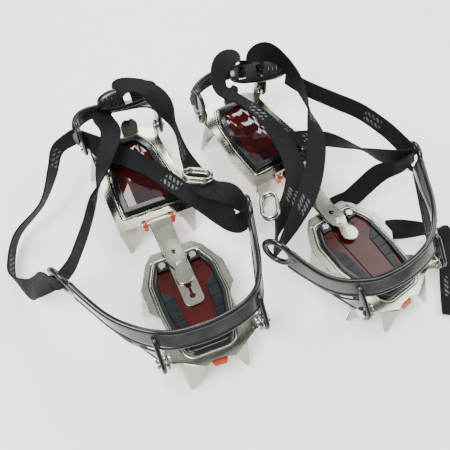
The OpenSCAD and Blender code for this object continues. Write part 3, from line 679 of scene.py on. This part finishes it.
def eye(name, side, arm, mirrored, body):
    """The eye at the end of a toe arm: a ring plate with beads round its rim and its hole."""
    half = toe_half(arm)
    if mirrored:
        half = [[flipped(u), flipped(w)] for u, w in half]
    end = half[0]
    run = end[0] - half[1][0]
    run.z = 0
    run.normalize()
    centre = (end[0] + end[1]) / 2 + run * (EAR_R - 5.2)
    place = FRONT[side] @ upright(centre, run, run.cross(Vector((0, 0, 1))))
    ring = [circle((0, 0), EAR_R - 1.2), circle((0, 0), EAR_HOLE_R + 0.4)]
    parts = [plate(name, ring, PLASTIC_T, 0.8, place, SMOKE, "harness_smoke"),
             tube(name + "_rim", lifted(circle((0, 0), EAR_R - 2.2)), BEAD_R, place, BEAD,
                  "harness_smoke", closed=True),
             tube(name + "_lip", lifted(circle((0, 0), EAR_HOLE_R + 1.1)), 1.3, place, BEAD,
                  "harness_smoke", closed=True)]
    ride(parts, body)


def rivet_arm(name, foot, top, radii, outward, place, body, slot_size=None):
    """An arm from the rivet up to the band, with a bead round it and perhaps a web slot."""
    rise = top - foot
    x = rise.cross(Vector(outward))
    local = place @ upright(foot, x, outward)
    outline = round_hull(*radii, rise.length)
    loops = [outline, circle((0, 0), 2.9, 24)]
    if slot_size:
        w, h = slot_size
        loops.append([(a * w / 2, rise.length + b * h / 2)
                      for a, b in ((-1, -0.9), (-0.8, -1), (0.8, -1), (1, -0.9),
                                   (1, 0.9), (0.8, 1), (-0.8, 1), (-1, 0.9))])
    sheet = plate(name, loops, PLASTIC_T, 0.9, local, SMOKE, "harness_smoke")
    inner = round_hull(radii[0] - 1.5, radii[1] - 1.5, rise.length)
    rim = tube(name + "_bead", lifted(inner), 2.0, local, BEAD, "harness_smoke", closed=True)
    ride((sheet, rim), body)


def side_panel(name, side, arm, mirrored, body):
    """The sheet below a toe arm, from its eye down to the rivet."""
    half = toe_half(arm)[:5]
    if mirrored:
        half = [[flipped(u), flipped(w)] for u, w in half]
    _, lower, out = fine_band(half)
    foot = Vector((TOE_RIVET.x * (1 if mirrored else -1), TOE_RIVET.y + 5, TOE_RIVET.z - 5.5))
    last = len(lower) - 1
    edge = [lower[0].lerp(foot, i / last) for i in range(last + 1)]
    rings = [[w + n * 1.1, e + n * 1.1, e - n * 1.1, w - n * 1.1] for w, e, n in zip(lower, edge, out)]
    parts = [new_object(name, *skin(rings), FRONT[side], SMOKE, "harness_smoke"),
             tube(name + "_bead", edge, 1.7, FRONT[side], BEAD, "harness_smoke", taper=True)]
    ride(parts, body)


def toe_harness(side):
    body = f"{side}_toe_strap"
    parts = band(f"{side}_toe_band", toe_band(side), FRONT[side], body, 0.7)
    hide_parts(f"{side}_toe_harness")
    for arm, mirrored, word in zip(TOE_ARMS[side], (False, True), ("outer", "inner")):
        eye(f"{side}_{word}_eye", side, arm, mirrored, body)
        side_panel(f"{side}_{word}_panel", side, arm, mirrored, body)
        s = 1 if mirrored else -1
        foot = Vector((s * TOE_RIVET.x, TOE_RIVET.y, TOE_RIVET.z))
        top = Vector((s * (TOE_RIVET.x + 1.5), -37, 57))
        rivet_arm(f"{side}_{word}_toe_arm", foot, top, (8, 7), (s, 0, 0), FRONT[side], body)


def heel_harness(side):
    body = f"{side}_heel_strap"
    parts = band(f"{side}_heel_band", HEEL_BAND[side], HEEL[side], body, 0.9)
    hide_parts(f"{side}_heel_harness")
    for s, word in ((-1, "outer"), (1, "inner")):
        broad = s == BROAD_SIDE[side]
        foot = Vector((s * HEEL_RIVET.x, HEEL_RIVET.y, HEEL_RIVET.z))
        top = Vector((s * (HEEL_RIVET.x + 3.5), 191, 59)) if broad else Vector(
            (s * (HEEL_RIVET.x + 2), 189, 57))
        rivet_arm(f"{side}_{word}_heel_arm", foot, top, (8, 13) if broad else (8, 8), (s, 0, 0),
                  HEEL[side], body, (6, 19) if broad else None)


BUCKLE_HALF_LENGTH, BUCKLE_HALF_WIDTH, BUCKLE_SCALE, BUCKLE_LIFT = 28, 10, 1.1, 2
BUCKLE_WINDOWS, WINDOW_HALF_LENGTH, WINDOW_HALF_WIDTH = (-1, 16), 3.2, 5.5
# Its dome: share of the outline and height, from the underside to the crown
BUCKLE_SHELLS = [(0.86, -2.6), (0.95, -2.4), (1, -1.4), (1, -0.2), (0.965, 1.1), (0.9, 2.1),
                 (0.78, 2.9), (0.6, 3.4), (0.38, 3.7), (0.15, 3.8)]


def heel_buckle(side):
    """A moulded buckle: a domed oval body with two windows and a ribbed patch."""
    at, turn = HEEL_BUCKLE[side]
    spin = [Matrix.Rotation(math.radians(a), 4, axis) for a, axis in zip(turn, "XYZ")]
    place = HEEL[side] @ Matrix.Translation(at) @ spin[2] @ spin[1] @ spin[0]
    place = place @ Matrix.Translation((0, 0, BUCKLE_LIFT)) @ Matrix.Scale(BUCKLE_SCALE, 4)
    outline = [(BUCKLE_HALF_LENGTH * math.copysign(abs(math.cos(a)) ** 0.7, math.cos(a)),
                BUCKLE_HALF_WIDTH * math.copysign(abs(math.sin(a)) ** 0.75, math.sin(a)))
               for a in (2 * math.pi * k / 64 for k in range(64))]
    rings = [[(x * f if f > 0.9 else x * (0.5 + 0.5 * f), y * f, z) for x, y in outline]
             for f, z in BUCKLE_SHELLS]
    body = new_object(f"{side}_buckle", *skin(rings), place, BUCKLE, "rubber_black")
    for middle in BUCKLE_WINDOWS:
        a, b, c = middle - WINDOW_HALF_LENGTH, middle + WINDOW_HALF_LENGTH, WINDOW_HALF_WIDTH
        hole = plate(f"{side}_buckle_cutter", [[(a, -c), (b, -c), (b, c), (a, c)]], 14, CUT_RIM, place,
                     BUCKLE, "rubber_black")
        carve(body, hole)
    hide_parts(f"{side}_heel_buckle")
    parts = [body]
    for i in range(4):
        rib = [Vector((-22 + 4 * i, y, 3.2 - abs(y) ** 2 * 0.03)) for y in (-6, -5, -2, 0, 2, 5, 6)]
        parts.append(tube(f"{side}_buckle_rib_{i + 1}", rib, 1.0, place, BUCKLE, "rubber_black",
                          taper=True))
    ride(parts, f"{side}_heel_strap")


# ---- lock leaf ----------------------------------------------------------------------------


def lock_leaf(side):
    """One springy leaf: a round tongue, a waist, shoulders round the rivet, a turned-up end."""
    widths = [(8.2, 1.5), (9.5, 4.6), (12, 7.2), (16, 8.0), (20, 7.3), (25, 5.4), (29, 7.2),
              (33, 9.0), (38, 9.3), (43, 8.8), (50, 8.2), (58, 8.8), (66, 9.6), (72, 10), (77.6, 10)]
    rings = []
    for y, half in [tuple(v) for v in curve_through(widths, 5)]:
        rise = max(0, y - 70) ** 2 * 0.028 + 0.25 * math.sin((y - 10) / 9)
        z = LEAF_Z + 0.75 + rise
        across = [(-1, 0), (-0.96, 0.6), (-0.85, 0.75), (0, 0.75), (0.85, 0.75), (0.96, 0.6), (1, 0)]
        ring = [(half * a, y, z + b) for a, b in across]
        rings.append(ring + [(half * a, y, z - b) for a, b in reversed(across[1:-1])])
    leaf = new_object(f"{side}_leaf_blade", *skin(rings), FRONT[side], STEEL, "steel")
    hole = plate(f"{side}_leaf_cutter", [circle((0, 42), 2.4, 28)], 12, CUT_RIM,
                 FRONT[side] @ Matrix.Translation((0, 0, LEAF_Z)), STEEL, "steel")
    carve(leaf, hole)
    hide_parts(f"{side}_lock_leaf", f"{side}_leaf_tongue")
    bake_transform(leaf)


# ---- plates ---------------------------------------------------------------------------------

# The plates' outlines on the deck, (x, y)
FRONT_PLATE = [
    (18.4, 36.4), (-18.4, 36.4), (-26.4, 20), (-26.4, -8), (-24.4, -30), (-20.4, -45.6), (-16.8, -48.9),
    (11.8, -50.3), (15.4, -47.6), (20.4, -30), (26.4, -8), (26.4, 20)]
HEEL_RIM = [
    (27.9, 99.6), (27.9, 130), (23.4, 172), (14.6, 191.4), (-14.6, 191.4), (-23.4, 172), (-27.9, 130),
    (-27.9, 99.6)]


def around(outline, by, height):
    """The outline moved outwards by so many millimetres, as points at a height."""
    area = sum(a[0] * b[1] - b[0] * a[1] for a, b in zip(outline, outline[1:] + outline[:1]))
    turn = 1 if area > 0 else -1
    out = []
    for i, p in enumerate(outline):
        p = Vector(p)
        back = (p - Vector(outline[i - 1])).normalized()
        on = (Vector(outline[(i + 1) % len(outline)]) - p).normalized()
        sides = [Vector((d.y, -d.x)) * turn for d in (back, on)]
        middle = (sides[0] + sides[1]).normalized()
        q = p + middle * by / max(middle.dot(sides[0]), 0.5)
        out.append(Vector((q.x, q.y, height)))
    return out


def rounded(points, cut=4.0):
    """A closed outline with each corner turned into a short arc."""
    out = []
    for i, p in enumerate(points):
        for q in (points[i - 1], points[(i + 1) % len(points)]):
            reach = min(cut, (q - p).length * 0.4)
            near = p + (q - p).normalized() * reach
            out.append((near, q is points[i - 1]))
    ring = []
    for k in range(0, len(out), 2):
        a, b, p = out[k][0], out[k + 1][0], points[k // 2]
        ring += [(a * (1 - t) + p * t) * (1 - t) + (p * (1 - t) + b * t) * t
                 for t in (0, 0.25, 0.5, 0.75, 1)]
    return ring


def deck_trim(side):
    """The plates' rounded black borders and the ridges rolled into the steel decks round them."""
    for word, outline, place, body, reach in (
            ("front", FRONT_PLATE, FRONT[side], f"{side}_front", 2.2),
            ("heel", HEEL_RIM, HEEL[side], f"{side}_heel", 0.6)):
        border = [rounded(around(outline, by, 0)) for by in (reach, -1.6 if word == "front" else -5.4)]
        loops = [[(p.x, p.y) for p in loop] for loop in border]
        lift = Matrix.Translation((0, 0, DECK_Z + (1.7 if word == "front" else 1.4)))
        frame_piece = plate(f"{side}_{word}_border", loops, PLASTIC_T, 1.5, place @ lift, BLACK,
                            "rubber_dark")
        if word == "front":
            gate = [(-BAR_GATE, 30), (BAR_GATE, 30), (BAR_GATE, 45), (-BAR_GATE, 45)]
            carve(frame_piece, plate(f"{side}_border_cutter", [gate], 14, CUT_RIM, place @ lift, BLACK,
                                     "rubber_dark"))
        ridge = tube(f"{side}_{word}_ridge", rounded(around(outline, reach + 2.6, DECK_Z - 0.5)), 1.7,
                     place, STEEL, "steel", closed=True)
        ride((frame_piece, ridge), body)


# ---- carried-over pieces ---------------------------------------------------------------------

FINISH = {
    "front_frame": (STEEL, 0.5), "center_bar": (STEEL, 0.3), "heel_frame": (STEEL, 0.5),
    "front_plate": (MAROON, 0.5), "heel_panel": (PANEL, 0.4), "front_pads": (PAD, 0.4),
    "heel_rim": (BLACK, 0.9), "bar_guide": (BLACK, 0.5), "front_underplate": (ORANGE, 0.4),
    "heel_underplate": (ORANGE, 0.4), "front_plate_pins": (BRIGHT, 0.2),
    "heel_plate_pins": (BRIGHT, 0.2), "guide_posts": (BRIGHT, 0.3), "leaf_rivet": (BRIGHT, 0.2),
    "leaf_stud": (BRIGHT, 0.1), "toe_rivets": (BRIGHT, 0.3), "heel_rivets": (BRIGHT, 0.3),
    "hook_pin": (BRIGHT, 0.2), "strap_rings": (STEEL, 0)}


NODE_WELD, EDGE_ANGLE = 0.000002, math.radians(38)


def finish_nodes():
    for side in SIDES:
        for piece, (material, rim) in FINISH.items():
            node = frame["nodes"][f"{side}_{piece}"]
            node.data.materials.clear()
            node.data.materials.append(material)
            if rim:
                weld = node.modifiers.new("weld", "WELD")
                weld.merge_threshold = NODE_WELD
                edge = node.modifiers.new("edge", "BEVEL")
                edge.width, edge.segments = rim * MM, 3
                edge.limit_method, edge.angle_limit = "ANGLE", EDGE_ANGLE
                edge.harden_normals = True


def declare_webs(made):
    """Only defines a helper that gathers the pieces of the named webs, and does nothing else with them."""
    def whole(*names):
        return [piece for name in names for piece, _, _ in made[name]]


aim_camera()
web_pieces = webs()
studio()
for side in SIDES:
    toe_harness(side)
    heel_harness(side)
    heel_buckle(side)
    lock_leaf(side)
    deck_trim(side)
finish_nodes()
declare_webs(web_pieces)
